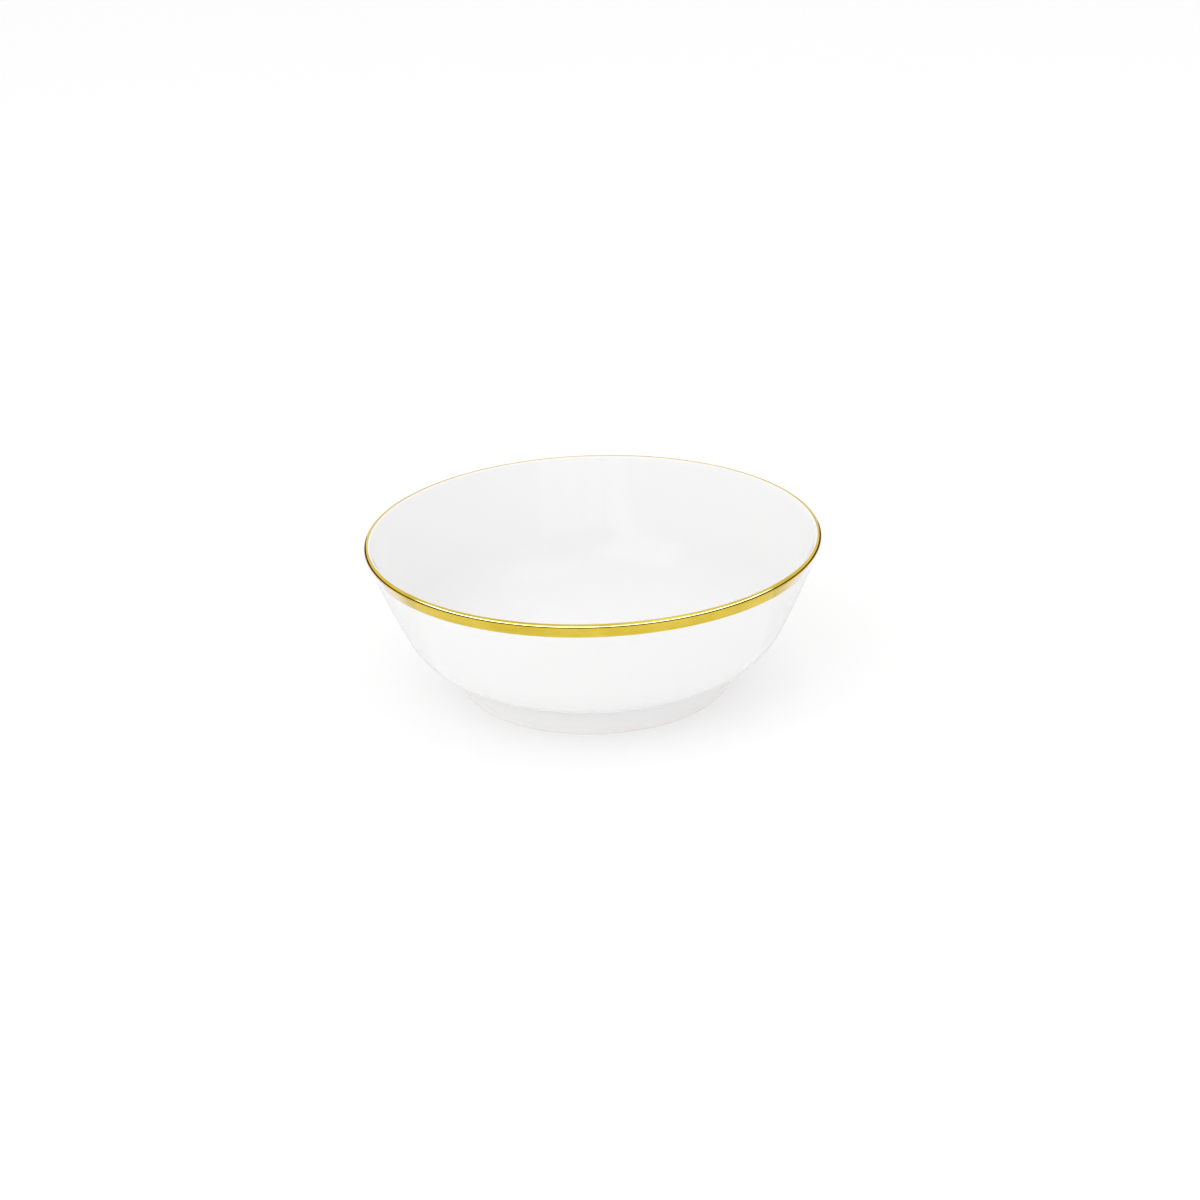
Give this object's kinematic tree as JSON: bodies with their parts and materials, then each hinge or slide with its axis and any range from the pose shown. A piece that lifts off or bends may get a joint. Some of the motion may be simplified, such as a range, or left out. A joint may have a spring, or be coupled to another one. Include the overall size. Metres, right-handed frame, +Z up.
{
  "type": "serving bowl",
  "caption": "Round footed porcelain serving bowl: rounded belly, nearly straight flared wall, turned foot ring, and a gilded lip with a narrow gilded band below it.",
  "frame": {"origin": "middle of the circle that the foot ring stands on, at table height", "axes": "+Z up along the axis that the bowl was turned about; X and Y are any two level directions"},
  "size_m": [0.23, 0.23, 0.079],
  "materials": {
    "porcelain_bisque": "fine matte unglazed white porcelain",
    "porcelain_slip": "matte white slip, sponged smooth",
    "clear_glaze": "glossy clear glaze over white porcelain",
    "gilding": "bright brushed-on gold, fired and burnished"
  },
  "bodies": {
    "root": {"bowl_body": "porcelain_bisque", "foot_ring": "porcelain_bisque", "foot_slip_joint": "porcelain_slip", "glaze_coat": "clear_glaze", "glaze_recess_coat": "clear_glaze", "gold_lip_line": "gilding", "gold_band": "gilding"}
  },
  "joints": []
}
